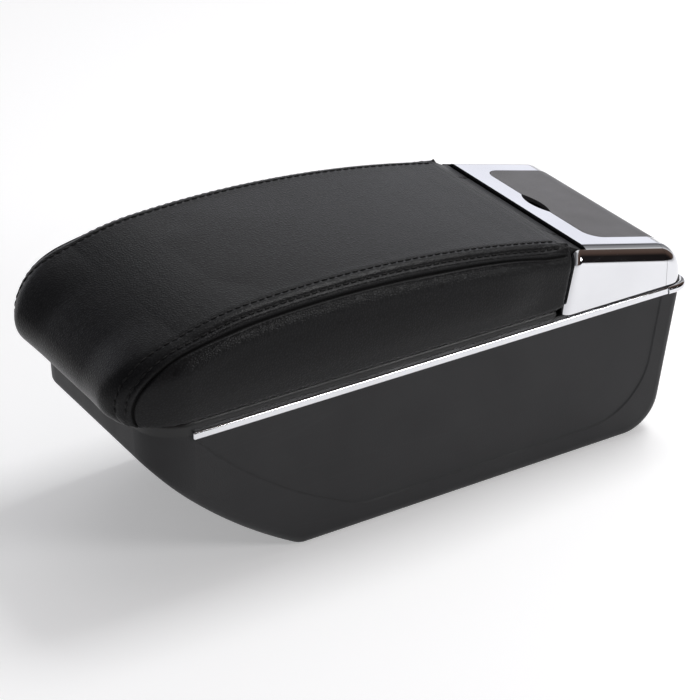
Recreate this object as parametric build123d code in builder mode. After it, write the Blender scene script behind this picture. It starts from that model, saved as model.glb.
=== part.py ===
from build123d import *
import os
from math import cos, radians, sin, tan

os.makedirs("parts", exist_ok=True)

# Car centre armrest: storage box, padded lid and rear ashtray module.
# Millimetres, +Z up, nose at -X, origin under the middle of the outline.

# Storage box
box_length = 348.5
box_width = 142.5
box_height = 95.0
box_wall = 2.5
side_draft = 2.0
rear_lean = 7.0
nose_wall_height = 18.5
keel_run = 90.5
keel_bulge = 5.4
keel_foot_radius = 14.0
heel_radius = 25.0
nose_corner_radius = 24.0
box_edge_radius = 7.0

# Shallow panel recessed into each side of the box
panel_depth = 0.6
panel_edge_slope = 58.0
panel_nose_margin = 21.5
panel_nose_run = 109.0
panel_bulge = 8.0
panel_floor_margin = 15.0
panel_rear_margin = 15.0
panel_foot_radius = 40.0
panel_heel_radius = 42.0
panel_top_margin = 1.2

# Screw holes in the box floor
mount_hole_diameter = 5.5
mount_spacing_x = 120.0
mount_spacing_y = 70.0
mount_middle_x = 35.0

# Chrome trim round the rim
trim_depth = 2.5
trim_height = 4.8
trim_wrap = 4.0
trim_edge_radius = 1.2
bead_depth = 3.6
bead_height = 5.6
bead_run = 13.5
trim_joint_gap = 0.3
trim_end_radius = 1.0

# Collar between the box and the lid, and the deck behind it
deck_thickness = 4.0
lip_height = 4.2
lip_width = 10.25
lip_radius = 3.2
opening_corner_radius = 15.0
lip_rear_bar = 6.0
lip_module_gap = 2.25

# Padded lid
pad_overhang = 18.0
pad_side_overhang = 3.75
lid_gap = 1.3
leather_thickness = 1.3
foam_gap = 0.1
pad_edge_radius = 14.0
pad_end_radius = 10.0
hem_width = 12.0
nose_plan_radius = 46.0
nose_plan_lead = 5.5
nose_rise = 20.0
nose_inset = 2.4
nose_tuck = 5.5
brow_run = 24.5
brow_rise = 39.3
shoulder_run = 80.0
shoulder_rise = 52.9
middle_run = 180.0
middle_rise = 52.3
pad_end_rise = 35.6
pad_end_gap = 1.4
base_thickness = 5.0
base_web_depth = 18.0
web_wall = 2.5
web_side_margin = 5.0
web_pocket_count = 5
web_pocket_height = 24.0
liner_gap = 0.4

# Lid hinge
roll_radius = 4.4
roll_sink = 1.1
hinge_gap = 0.8
tongue_root_radius = 5.4
tongue_root_back = 12.5
tongue_root_rise = 5.7
tongue_side_gap = 0.7
pin_diameter = 3.0
pin_seat = 2.5
pin_reach = 12.0
running_clearance = 0.05
seat_clearance = 0.02
pin_hole_gap = 0.5

# Ashtray module
module_side_overhang = 2.25
module_wall = 2.5
module_front_height = 37.0
plate_length = 55.4
plate_slope = 13.8
rear_cap_depth = 15.4
module_setback = 1.0
rear_round_radius = 20.0
module_roll_radius = 10.5
arm_reach = 17.2
arm_lean = 11.0
arm_thickness = 5.2
arm_nose_radius = 5.0
seam_gap = 0.2

# Flip lid of the ashtray
flip_setback = 14.5
flip_side_margin = 19.9
flip_thickness = 2.5
flip_gap = 0.4
flip_corner_radius = 10.0
flip_hinge_tilt = 66.0
flip_barrel_radius = 2.6
flip_rod_diameter = 2.4
cap_edge_tilt = 76.0
cheek_width = 4.2
cheek_inset = 0.6
notch_half_length = 14.6
notch_plate_bulge = 5.0
notch_lid_bulge = 3.8

# Ash cup
cup_length = 38.0
cup_side_margin = 9.0
cup_depth = 30.0
cup_collar = 10.0
cup_wall = 1.5
cup_corner_radius = 9.0
cup_flange = 3.0
cup_window_gap = 0.8
cup_setback = 13.5
cup_rest_radius = 4.0

# Screws and buffers
screw_diameter = 3.0
screw_head_diameter = 5.6
screw_head_height = 1.6
screw_head_gap = 0.5
boss_diameter = 7.0
rim_screw_length = 14.0
rim_screw_nose_margin = 46.8
rim_screw_rear_margin = 15.2
rim_screw_rows = 3
rim_screw_sink = 4.0
module_screw_length = 11.0
module_screw_pitch = 36.0
module_boss_diameter = 7.0
module_boss_height = 10.0
boss_rib_width = 2.5
boss_bite = 0.4
cap_screw_length = 9.0
cap_screw_pitch = 70.0
cap_boss_height = 6.5
pilot_spare = 1.0
liner_screw_length = 5.0
liner_screw_margin = 27.0
liner_screw_pitch_y = 84.0
liner_screw_rows = 3
buffer_diameter = 6.0
buffer_sink = 2.0
buffer_clearance = 0.2

# Planes and stations that the pieces share
half_box = box_width / 2
half_pad = half_box + pad_side_overhang
half_module = half_box + module_side_overhang
nose_tip_x = -(pad_overhang + box_length + bead_depth) / 2
nose_x = nose_tip_x + pad_overhang
rear_x = nose_x + box_length
keel_top_z = box_height - nose_wall_height
rear_foot_x = rear_x - box_height * tan(radians(rear_lean))
deck_z = box_height + deck_thickness
lip_z = deck_z + lip_height
pad_z = lip_z + lid_gap
seam_x = rear_x - rear_cap_depth
bead_x = rear_x - bead_run
plate_front_x = seam_x - plate_length
plate_front_z = deck_z + module_front_height
arm_foot_x = plate_front_x - arm_reach
arm_inner_y = half_module - arm_thickness
opening_front_x = nose_x + lip_width
opening_rear_x = arm_foot_x - lip_module_gap - lip_rear_bar
opening_length = opening_rear_x - opening_front_x
opening_width = box_width - 2 * lip_width
screw_line = box_width - lip_width
rim_screw_nose_x = opening_front_x + rim_screw_nose_margin
rim_screw_rear_x = opening_rear_x - rim_screw_rear_margin
rim_screw_pitch = (rim_screw_rear_x - rim_screw_nose_x) / (rim_screw_rows - 1)
rim_screw_middle_x = (rim_screw_nose_x + rim_screw_rear_x) / 2
module_rear_x = rear_x - module_setback
plate_fall = tan(radians(plate_slope))
hinge_x = plate_front_x - hinge_gap - roll_radius
hinge_z = plate_front_z - roll_sink - roll_radius
tongue_half = arm_inner_y - tongue_side_gap
flip_front_x = plate_front_x + flip_setback
half_flip = half_module - flip_side_margin
half_slot = half_flip + flip_gap
round_x = module_rear_x - rear_round_radius
round_z = (
    plate_front_z
    - plate_fall * (round_x - plate_front_x)
    - rear_round_radius / cos(radians(plate_slope))
)
flip_arm = rear_round_radius - flip_barrel_radius
flip_hinge_x = round_x + flip_arm * sin(radians(flip_hinge_tilt))
flip_hinge_z = round_z + flip_arm * cos(radians(flip_hinge_tilt))
cap_edge_x = round_x + rear_round_radius * sin(radians(cap_edge_tilt))
cap_edge_z = round_z + rear_round_radius * cos(radians(cap_edge_tilt))
cup_middle_x = plate_front_x + cup_setback + cup_length / 2
cup_width = 2 * (half_flip - cup_side_margin)
module_boss_y = half_box - box_wall - screw_head_diameter / 2 - screw_head_gap
boss_rib_length = 2 * (half_module - module_wall + boss_bite - module_boss_y)
module_boss_x = plate_front_x + flip_setback + module_screw_pitch / 2 - module_boss_diameter
cap_boss_x = module_rear_x - module_wall - module_boss_diameter / 2 + boss_bite
base_top_z = pad_z + leather_thickness + foam_gap + base_thickness
above_all = box_length


def end_line_x(z):
    """Place of the pad's rear face at height z, parallel to the arms' front edge."""
    return arm_foot_x - pad_end_gap + (z - deck_z) * tan(radians(arm_lean))


def rim_face(inset, front_x, end_x, end_radius):
    """Plan of the rim, nose corners rounded, between two stations."""
    with BuildSketch() as plan:
        with Locations(((front_x + end_x) / 2, 0)):
            Rectangle(end_x - front_x, box_width - 2 * inset)
        fillet(plan.vertices().group_by(Axis.X)[0], nose_corner_radius - inset)
        fillet(plan.vertices().group_by(Axis.X)[-1], end_radius)
    return plan.sketch


def module_face():
    """Side view of the rear module on its deck, with the round of its rear edge."""
    brow_z = plate_front_z + plate_fall * arm_reach
    brow_x = arm_foot_x + (brow_z - deck_z) * tan(radians(arm_lean))
    brow_z = plate_front_z - plate_fall * (brow_x - plate_front_x)
    corner_z = plate_front_z - plate_fall * (module_rear_x - plate_front_x)
    with BuildSketch() as side:
        with BuildLine():
            Polyline(
                (arm_foot_x, deck_z),
                (brow_x, brow_z),
                (module_rear_x, corner_z),
                (module_rear_x, deck_z),
                close=True,
            )
        make_face()
        fillet(side.vertices().sort_by_distance((module_rear_x, corner_z))[0], rear_round_radius)
    return side.sketch


def pad_face():
    """Side view of the pad: arched top, drooping nose and leaning rear face."""
    with BuildSketch() as side:
        with BuildLine():
            end_z = pad_z + pad_end_rise
            rear = Line((end_line_x(pad_z), pad_z), (end_line_x(end_z), end_z))
            top = ThreePointArc(
                rear @ 1,
                (nose_tip_x + middle_run, pad_z + middle_rise),
                (nose_tip_x + shoulder_run, pad_z + shoulder_rise),
            )
            brow = TangentArc(top @ 1, (nose_tip_x + brow_run, pad_z + brow_rise), tangent=top % 1)
            nose = TangentArc(brow @ 1, (nose_tip_x + nose_inset, pad_z + nose_rise), tangent=brow % 1)
            tuck = TangentArc(nose @ 1, (nose_tip_x + nose_tuck, pad_z), tangent=nose % 1)
            Line(tuck @ 1, rear @ 0)
        make_face()
    return side.sketch


def pad_solid(inset):
    """Padded lid's outer form, drawn in by inset on every side."""
    with BuildPart() as pad:
        with BuildSketch(Plane.XZ):
            add(pad_face())
            if inset:
                offset(amount=-inset, mode=Mode.REPLACE)
        extrude(amount=half_pad - inset, both=True)
        with BuildSketch(Plane.XY.offset(pad_z)) as plan:
            with Locations((nose_tip_x - nose_plan_lead + inset, 0)):
                Rectangle(box_length, 2 * (half_pad - inset), align=(Align.MIN, Align.CENTER))
            fillet(plan.vertices().group_by(Axis.X)[0], nose_plan_radius - inset)
        extrude(amount=box_height, mode=Mode.INTERSECT)
        side_arcs = pad.edges().filter_by(GeomType.CIRCLE).group_by(Axis.Y)
        fillet(side_arcs[0] + side_arcs[-1], pad_edge_radius - inset)
        end_face = pad.faces().sort_by(Axis.X)[-1]
        fillet(end_face.edges().sort_by(Axis.Z)[1:], pad_end_radius - inset)
        with BuildSketch(Plane.XZ) as tongue:
            with Locations((hinge_x, hinge_z)):
                Circle(roll_radius - inset)
            with Locations((hinge_x - tongue_root_back, hinge_z + tongue_root_rise)):
                Circle(tongue_root_radius - inset)
            make_hull(tongue.edges())
        extrude(amount=tongue_half - inset, both=True)
    return pad.part


def screw(length):
    """Pan-head screw: seat of the head at the origin, shank down."""
    with BuildPart() as body:
        Cylinder(
            screw_head_diameter / 2,
            screw_head_height,
            align=(Align.CENTER, Align.CENTER, Align.MIN),
        )
        fillet(body.faces().sort_by(Axis.Z)[-1].edges(), screw_head_height / 2)
        Cylinder(
            screw_diameter / 2,
            length,
            align=(Align.CENTER, Align.CENTER, Align.MAX),
        )
    return body.part


# Storage box: side profile across the width, drafted sides, rounded edges, hollow
with BuildSketch() as panel_outline:
    with BuildLine():
        panel_front = (nose_x + panel_nose_margin, -panel_top_margin)
        panel_foot = (nose_x + panel_nose_margin + panel_nose_run, panel_floor_margin - box_height)
        panel_heel = (
            rear_foot_x - panel_rear_margin + panel_floor_margin * tan(radians(rear_lean)),
            panel_floor_margin - box_height,
        )
        panel_rear = (
            rear_x - panel_rear_margin - panel_top_margin * tan(radians(rear_lean)),
            -panel_top_margin,
        )
        SagittaArc(panel_front, panel_foot, -panel_bulge)
        Polyline(panel_foot, panel_heel, panel_rear, panel_front)
    make_face()
    fillet(panel_outline.vertices().sort_by_distance(panel_foot)[0], panel_foot_radius)
    fillet(panel_outline.vertices().sort_by_distance(panel_heel)[0], panel_heel_radius)

with BuildPart() as storage_box:
    with BuildSketch(Plane.XZ) as box_side:
        with BuildLine():
            keel_top = (nose_x, keel_top_z)
            keel_foot = (nose_x + keel_run, 0)
            heel = (rear_foot_x, 0)
            SagittaArc(keel_top, keel_foot, -keel_bulge)
            Polyline(keel_foot, heel, (rear_x, box_height), (nose_x, box_height), keel_top)
        make_face()
        fillet(box_side.vertices().sort_by_distance(keel_foot)[0], keel_foot_radius)
        fillet(box_side.vertices().sort_by_distance(heel)[0], heel_radius)
    extrude(amount=half_box, both=True)
    with BuildSketch(Plane.XY.offset(box_height)):
        add(rim_face(0, nose_x, rear_x + nose_corner_radius, box_edge_radius))
    extrude(amount=-box_height, taper=side_draft, mode=Mode.INTERSECT)
    nose_face = storage_box.faces().sort_by(Axis.X)[0]
    fillet(nose_face.edges().sort_by(Axis.Z)[0], box_edge_radius)
    offset(amount=-box_wall, openings=storage_box.faces().sort_by(Axis.Z)[-1])
    with BuildSketch(Plane.XY.offset(box_height)):
        with Locations((rim_screw_middle_x, 0)):
            with GridLocations(rim_screw_pitch, screw_line, rim_screw_rows, 2):
                Circle(boss_diameter / 2)
    extrude(amount=-(rim_screw_length + pilot_spare))
    with BuildSketch(Plane.XY.offset(box_height)):
        with Locations((rim_screw_middle_x, 0)):
            with GridLocations(rim_screw_pitch, screw_line, rim_screw_rows, 2):
                Circle(screw_diameter / 2 + seat_clearance)
    extrude(amount=-rim_screw_length, mode=Mode.SUBTRACT)
    for side in (-1, 1):
        side_plane = Plane(
            origin=(0, side * half_box, box_height),
            x_dir=(-side, 0, 0),
            z_dir=(0, side * cos(radians(side_draft)), -sin(radians(side_draft))),
        )
        with BuildSketch(side_plane):
            if side < 0:
                add(panel_outline.sketch)
            else:
                mirror(panel_outline.sketch, about=Plane.YZ)
        extrude(amount=-panel_depth, taper=panel_edge_slope, mode=Mode.SUBTRACT)
    with BuildSketch(Plane.XY):
        with Locations((mount_middle_x, 0)):
            with GridLocations(mount_spacing_x, mount_spacing_y, 2, 2):
                Circle(mount_hole_diameter / 2)
    extrude(amount=box_wall * 2, mode=Mode.SUBTRACT)
storage_box.part.label = "storage_box"

# Collar with its lip round the opening, and the deck under the module
with BuildPart() as rim_frame:
    with BuildSketch(Plane.XY.offset(box_height)):
        add(rim_face(0, nose_x, rear_x, box_edge_radius))
    extrude(amount=deck_thickness)
    with BuildSketch(Plane.XY.offset(deck_z)):
        add(rim_face(0, nose_x, opening_rear_x + lip_rear_bar, lip_radius))
    extrude(amount=lip_height)
    lip_edges = rim_frame.faces().sort_by(Axis.Z)[-1].edges()
    fillet(lip_edges, lip_radius)
    with BuildSketch(Plane.XY.offset(lip_z)):
        with Locations(((opening_front_x + opening_rear_x) / 2, 0)):
            RectangleRounded(opening_length, opening_width, opening_corner_radius)
    extrude(amount=-(deck_thickness + lip_height), mode=Mode.SUBTRACT)
    with BuildSketch(Plane.XY.offset(deck_z)):
        with Locations((cup_middle_x, 0)):
            RectangleRounded(
                cup_length + 2 * cup_window_gap,
                cup_width + 2 * cup_window_gap,
                cup_corner_radius + cup_window_gap,
            )
    extrude(amount=-deck_thickness, mode=Mode.SUBTRACT)
    with Locations(Plane.XY.offset(lip_z)):
        with Locations((rim_screw_middle_x, 0)):
            with GridLocations(rim_screw_pitch, screw_line, rim_screw_rows, 2):
                CounterBoreHole(
                    screw_diameter / 2 + seat_clearance,
                    screw_head_diameter / 2 + screw_head_gap,
                    rim_screw_sink,
                    deck_thickness + lip_height,
                )
            with GridLocations(rim_screw_pitch, screw_line, rim_screw_rows - 1, 2):
                Hole(buffer_diameter / 2 + seat_clearance, buffer_sink)
    with Locations(Plane.XY.offset(deck_z)):
        with Locations((module_boss_x, 0)):
            with GridLocations(module_screw_pitch, 2 * module_boss_y, 2, 2):
                Hole(screw_diameter / 2 + seat_clearance, deck_thickness)
        with Locations((cap_boss_x, 0)):
            with GridLocations(1, cap_screw_pitch, 1, 2):
                Hole(screw_diameter / 2 + seat_clearance, deck_thickness)
rim_frame.part.label = "rim_frame"

# Chrome strip along each side, its front end bent round the nose corner
with BuildPart() as side_trim_left:
    with BuildLine() as trim_path:
        trim_run = Line(
            (bead_x, -half_box, box_height),
            (nose_x + nose_corner_radius, -half_box, box_height),
        )
        JernArc(trim_run @ 1, trim_run % 1, nose_corner_radius, -trim_wrap)
    with BuildSketch(Plane(trim_run @ 0, x_dir=(0, -1, 0), z_dir=trim_run % 0)) as trim_section:
        Rectangle(trim_depth, trim_height, align=(Align.MIN, Align.CENTER))
        fillet(trim_section.vertices().group_by(Axis.X)[-1], trim_edge_radius)
    sweep()
    trim_end = side_trim_left.faces().sort_by(Axis.X)[0]
    fillet(trim_end.edges().sort_by(Axis.Y)[0], trim_end_radius)
side_trim_left.part.label = "side_trim_left"

with BuildPart() as side_trim_right:
    mirror(side_trim_left.part, about=Plane.XZ)
side_trim_right.part.label = "side_trim_right"

# Chrome bead round the rear corners
with BuildPart() as rear_trim:
    with BuildLine() as bead_path:
        bead_start = bead_x + trim_joint_gap
        FilletPolyline(
            (bead_start, -half_box, box_height),
            (rear_x, -half_box, box_height),
            (rear_x, half_box, box_height),
            (bead_start, half_box, box_height),
            radius=box_edge_radius,
        )
    with BuildSketch(Plane((bead_start, -half_box, box_height), x_dir=(0, -1, 0), z_dir=(1, 0, 0))):
        with BuildLine():
            bead_back = Line((0, -bead_height / 2), (0, bead_height / 2))
            ThreePointArc(bead_back @ 1, (bead_depth, 0), bead_back @ 0)
        make_face()
    sweep()
rear_trim.part.label = "rear_trim"

# Module shell: rolled edges, hollow from below, front wall behind the lid's hinge
with BuildPart() as module_core:
    with BuildSketch(Plane.XZ):
        add(module_face())
        offset(amount=-module_wall, mode=Mode.REPLACE)
        with Locations((plate_front_x + module_wall, deck_z)):
            Rectangle(
                above_all,
                2 * above_all,
                align=(Align.MIN, Align.CENTER),
                mode=Mode.INTERSECT,
            )
    extrude(amount=half_module - module_wall, both=True)
    fillet(module_core.edges().filter_by(GeomType.CIRCLE), module_roll_radius - module_wall)
    core_floor = module_core.faces().sort_by(Axis.Z)[0]
    extrude(core_floor, amount=2 * module_wall)

with BuildPart() as module_shell:
    with BuildSketch(Plane.XZ):
        add(module_face())
    extrude(amount=half_module, both=True)
    fillet(module_shell.edges().filter_by(GeomType.CIRCLE), module_roll_radius)
    arm_face = module_shell.faces().sort_by(Axis.X)[0]
    arm_edges = arm_face.edges().filter_by(lambda edge: edge.center().Z > deck_z + seam_gap)
    fillet(arm_edges, arm_nose_radius)
    add(module_core.part, mode=Mode.SUBTRACT)

with BuildPart() as ashtray_surround:
    add(module_shell.part)
    split(bisect_by=Plane.YZ.offset(seam_x), keep=Keep.BOTTOM)
    with BuildSketch(Plane.XY.offset(deck_z)):
        with Locations((plate_front_x, 0)):
            Rectangle(above_all, 2 * arm_inner_y, align=(Align.MAX, Align.CENTER))
    extrude(amount=above_all, mode=Mode.SUBTRACT)
    with BuildSketch(Plane.XY.offset(deck_z + module_boss_height)) as flip_slot:
        with Locations((flip_front_x - flip_gap, 0)):
            Rectangle(above_all, 2 * half_slot, align=(Align.MIN, Align.CENTER))
        fillet(flip_slot.vertices().group_by(Axis.X)[0], flip_corner_radius + flip_gap)
        with BuildLine():
            notch_chord = Line(
                (flip_front_x, -notch_half_length),
                (flip_front_x, notch_half_length),
            )
            SagittaArc(notch_chord @ 1, notch_chord @ 0, -notch_plate_bulge)
        make_face()
    extrude(amount=above_all, mode=Mode.SUBTRACT)
    with BuildSketch(Plane.XY.offset(deck_z)):
        with Locations((module_boss_x, 0)):
            with GridLocations(module_screw_pitch, 2 * module_boss_y, 2, 2):
                Circle(module_boss_diameter / 2)
                Rectangle(boss_rib_width, boss_rib_length)
    extrude(amount=module_boss_height)
    with BuildSketch(Plane.XY.offset(deck_z)):
        with Locations((module_boss_x, 0)):
            with GridLocations(module_screw_pitch, 2 * module_boss_y, 2, 2):
                Circle(screw_diameter / 2 + seat_clearance)
    extrude(amount=module_screw_length - deck_thickness + pilot_spare, mode=Mode.SUBTRACT)
    with BuildSketch(Plane.XZ):
        with Locations((hinge_x, hinge_z)):
            Circle(pin_diameter / 2 + seat_clearance)
    extrude(amount=arm_inner_y + pin_seat, both=True, mode=Mode.SUBTRACT)
ashtray_surround.part.label = "ashtray_surround"

# Rear cap, cut away for the flip lid, with a cheek at each end of its hinge
with BuildPart() as rear_cap:
    add(module_shell.part)
    split(bisect_by=Plane.YZ.offset(seam_x + seam_gap), keep=Keep.TOP)
    with BuildSketch(Plane.XZ):
        with BuildLine():
            Polyline(
                (flip_hinge_x, flip_hinge_z),
                (cap_edge_x, cap_edge_z),
                (2 * cap_edge_x - flip_hinge_x, 2 * cap_edge_z - flip_hinge_z),
                (2 * cap_edge_x - flip_hinge_x, plate_front_z),
                (seam_x, plate_front_z),
                (seam_x, flip_hinge_z),
                close=True,
            )
        make_face()
        with Locations((flip_hinge_x, flip_hinge_z)):
            Circle(flip_barrel_radius + flip_gap)
    extrude(amount=half_slot, both=True, mode=Mode.SUBTRACT)
    for side in (-1, 1):
        with BuildSketch(Plane.XZ.offset(-side * (half_slot + cheek_width / 2))):
            add(module_face())
            offset(amount=-cheek_inset, mode=Mode.REPLACE)
            with Locations((seam_x + seam_gap, deck_z + module_boss_height)):
                Rectangle(above_all, above_all, align=(Align.MIN, Align.MIN), mode=Mode.INTERSECT)
        extrude(amount=cheek_width / 2, both=True)
    with BuildSketch(Plane.XZ):
        with Locations((flip_hinge_x, flip_hinge_z)):
            Circle(flip_rod_diameter / 2 + seat_clearance)
    extrude(amount=half_slot + cheek_width, both=True, mode=Mode.SUBTRACT)
    with BuildSketch(Plane.XY.offset(deck_z)):
        with Locations((cap_boss_x, 0)):
            with GridLocations(1, cap_screw_pitch, 1, 2):
                Circle(module_boss_diameter / 2)
    extrude(amount=cap_boss_height)
    with BuildSketch(Plane.XY.offset(deck_z)):
        with Locations((cap_boss_x, 0)):
            with GridLocations(1, cap_screw_pitch, 1, 2):
                Circle(screw_diameter / 2 + seat_clearance)
    extrude(amount=cap_screw_length - deck_thickness + seam_gap, mode=Mode.SUBTRACT)
rear_cap.part.label = "rear_cap"

# Flip lid: a band of the module's own outline, ending in its hinge barrel
with BuildPart() as ashtray_lid:
    with BuildSketch(Plane.XZ):
        add(module_face())
        with BuildSketch(mode=Mode.SUBTRACT):
            add(module_face())
            offset(amount=-flip_thickness, mode=Mode.REPLACE)
        with Locations((flip_front_x, flip_hinge_z)):
            Rectangle(above_all, above_all, align=(Align.MIN, Align.MIN), mode=Mode.INTERSECT)
        with Locations((flip_hinge_x, flip_hinge_z)):
            Circle(flip_barrel_radius)
    extrude(amount=half_flip, both=True)
    flip_corners = ashtray_lid.edges().filter_by(Axis.Z).sort_by(Axis.X)[:2]
    fillet(flip_corners, flip_corner_radius)
    with BuildSketch(Plane.XY.offset(deck_z)):
        with BuildLine():
            notch_edge = Line(
                (flip_front_x, -notch_half_length),
                (flip_front_x, notch_half_length),
            )
            SagittaArc(notch_edge @ 1, notch_edge @ 0, notch_lid_bulge)
        make_face()
    extrude(amount=above_all, mode=Mode.SUBTRACT)
    with BuildSketch(Plane.XZ):
        with Locations((flip_hinge_x, flip_hinge_z)):
            Circle(flip_rod_diameter / 2 + running_clearance)
    extrude(amount=half_flip, both=True, mode=Mode.SUBTRACT)
ashtray_lid.part.label = "ashtray_lid"

with BuildPart() as ashtray_lid_rod:
    with BuildSketch(Plane.XZ):
        with Locations((flip_hinge_x, flip_hinge_z)):
            Circle(flip_rod_diameter / 2)
    extrude(amount=half_slot + cheek_width, both=True)
ashtray_lid_rod.part.label = "ashtray_lid_rod"

# Lift-out ash cup, hung by its flange on the deck
with BuildPart() as ash_cup:
    with BuildSketch(Plane.XY.offset(deck_z - cup_depth)):
        with Locations((cup_middle_x, 0)):
            RectangleRounded(cup_length, cup_width, cup_corner_radius)
    extrude(amount=cup_depth + cup_collar)
    fillet(ash_cup.faces().sort_by(Axis.Z)[0].edges(), cup_corner_radius / 2)
    offset(amount=-cup_wall, openings=ash_cup.faces().sort_by(Axis.Z)[-1])
    with BuildSketch(Plane.XY.offset(deck_z)):
        with Locations((cup_middle_x, 0)):
            RectangleRounded(
                cup_length + 2 * cup_flange,
                cup_width + 2 * cup_flange,
                cup_corner_radius + cup_flange,
            )
            RectangleRounded(
                cup_length - cup_wall,
                cup_width - cup_wall,
                cup_corner_radius - cup_wall,
                mode=Mode.SUBTRACT,
            )
    extrude(amount=cup_wall)
    with BuildSketch(Plane.XZ):
        with Locations((cup_middle_x, deck_z + cup_collar)):
            Circle(cup_rest_radius)
    extrude(amount=cup_width, both=True, mode=Mode.SUBTRACT)
ash_cup.part.label = "ash_cup"

# Padded lid: cover, foam, tray with the hinge barrel, and liner
hem_front_x = nose_tip_x + hem_width
hem_rear_x = end_line_x(pad_z) - hem_width
hem_length = hem_rear_x - hem_front_x
hem_opening_width = 2 * (half_pad - hem_width)
hem_middle_x = (hem_front_x + hem_rear_x) / 2
liner_screw_pitch_x = (hem_length - 2 * liner_screw_margin) / (liner_screw_rows - 1)

with BuildPart() as leather_cover:
    add(pad_solid(0))
    add(pad_solid(leather_thickness), mode=Mode.SUBTRACT)
    with BuildSketch(Plane.XY.offset(pad_z)):
        with Locations((hem_middle_x, 0)):
            RectangleRounded(hem_length, hem_opening_width, pad_edge_radius)
    extrude(amount=base_thickness, mode=Mode.SUBTRACT)
    with BuildSketch(Plane.XZ):
        with Locations((hinge_x, hinge_z)):
            Circle(pin_diameter / 2 + pin_hole_gap)
    extrude(amount=tongue_half, both=True, mode=Mode.SUBTRACT)
leather_cover.part.label = "leather_cover"

web_front_x = end_line_x(pad_z) - base_web_depth
web_pocket_pitch = 2 * (half_pad - web_side_margin) / web_pocket_count
with BuildPart() as lid_base:
    add(pad_solid(leather_thickness + foam_gap))
    with BuildSketch(Plane.XY.offset(base_top_z)):
        with Locations((web_front_x, 0)):
            Rectangle(above_all, 2 * above_all, align=(Align.MAX, Align.CENTER))
    extrude(amount=above_all, mode=Mode.SUBTRACT)
    with BuildSketch(Plane.XY.offset(pad_z)):
        with Locations((web_front_x + web_wall, 0)):
            with GridLocations(1, web_pocket_pitch, 1, web_pocket_count):
                Rectangle(
                    base_web_depth - hem_width,
                    web_pocket_pitch - web_wall,
                    align=(Align.MIN, Align.CENTER),
                )
    extrude(amount=web_pocket_height, mode=Mode.SUBTRACT)
    with BuildSketch(Plane.XZ):
        with Locations((hinge_x, hinge_z)):
            Circle(pin_diameter / 2 + running_clearance)
    extrude(amount=tongue_half, both=True, mode=Mode.SUBTRACT)
    with Locations(Plane.XY.offset(base_top_z)):
        with Locations((hem_middle_x, 0)):
            with GridLocations(liner_screw_pitch_x, liner_screw_pitch_y, liner_screw_rows, 2):
                Hole(screw_diameter / 2 + seat_clearance, base_thickness)
lid_base.part.label = "lid_base"

with BuildPart() as foam_pad:
    add(pad_solid(leather_thickness + foam_gap))
    with BuildSketch(Plane.XY.offset(base_top_z + foam_gap)):
        with Locations((web_front_x - foam_gap, 0)):
            Rectangle(2 * above_all, 2 * above_all, align=(Align.MAX, Align.CENTER))
    extrude(amount=above_all, mode=Mode.INTERSECT)
foam_pad.part.label = "foam_pad"

with BuildPart() as lid_liner:
    with BuildSketch(Plane.XY.offset(pad_z)):
        with Locations((hem_middle_x, 0)):
            RectangleRounded(
                hem_length - 2 * liner_gap,
                hem_opening_width - 2 * liner_gap,
                pad_edge_radius - liner_gap,
            )
    extrude(amount=leather_thickness + foam_gap)
    with Locations(Plane.XY.offset(pad_z + leather_thickness + foam_gap)):
        with Locations((hem_middle_x, 0)):
            with GridLocations(liner_screw_pitch_x, liner_screw_pitch_y, liner_screw_rows, 2):
                Hole(screw_diameter / 2 + seat_clearance, leather_thickness + foam_gap)
lid_liner.part.label = "lid_liner"

with BuildPart() as lid_hinge_pins:
    pin_length = pin_seat + tongue_side_gap + pin_reach
    for side in (-1, 1):
        with BuildSketch(Plane.XZ.offset(-side * (tongue_half - pin_reach))):
            with Locations((hinge_x, hinge_z)):
                Circle(pin_diameter / 2)
        extrude(amount=-side * pin_length)
lid_hinge_pins.part.label = "lid_hinge_pins"

# Screws, each set one node, and the rubber stops under the lid
with BuildPart(Plane.XY.offset(lip_z - rim_screw_sink)) as rim_screws:
    with Locations((rim_screw_middle_x, 0)):
        with GridLocations(rim_screw_pitch, screw_line, rim_screw_rows, 2):
            add(screw(rim_screw_length))
rim_screws.part.label = "rim_screws"

under_deck = Plane((0, 0, box_height), x_dir=(1, 0, 0), z_dir=(0, 0, -1))
with BuildPart(under_deck) as surround_screws:
    with Locations((module_boss_x, 0)):
        with GridLocations(module_screw_pitch, 2 * module_boss_y, 2, 2):
            add(screw(module_screw_length))
surround_screws.part.label = "surround_screws"

with BuildPart(under_deck) as rear_cap_screws:
    with Locations((cap_boss_x, 0)):
        with GridLocations(1, cap_screw_pitch, 1, 2):
            add(screw(cap_screw_length))
rear_cap_screws.part.label = "rear_cap_screws"

under_liner = Plane((0, 0, pad_z), x_dir=(1, 0, 0), z_dir=(0, 0, -1))
with BuildPart(under_liner) as liner_screws:
    with Locations((hem_middle_x, 0)):
        with GridLocations(liner_screw_pitch_x, liner_screw_pitch_y, liner_screw_rows, 2):
            add(screw(liner_screw_length))
liner_screws.part.label = "liner_screws"

with BuildPart() as lid_buffers:
    with BuildSketch(Plane.XY.offset(lip_z - buffer_sink)):
        with Locations((rim_screw_middle_x, 0)):
            with GridLocations(rim_screw_pitch, screw_line, rim_screw_rows - 1, 2):
                Circle(buffer_diameter / 2)
    extrude(amount=buffer_sink + lid_gap - buffer_clearance)
lid_buffers.part.label = "lid_buffers"

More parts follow.
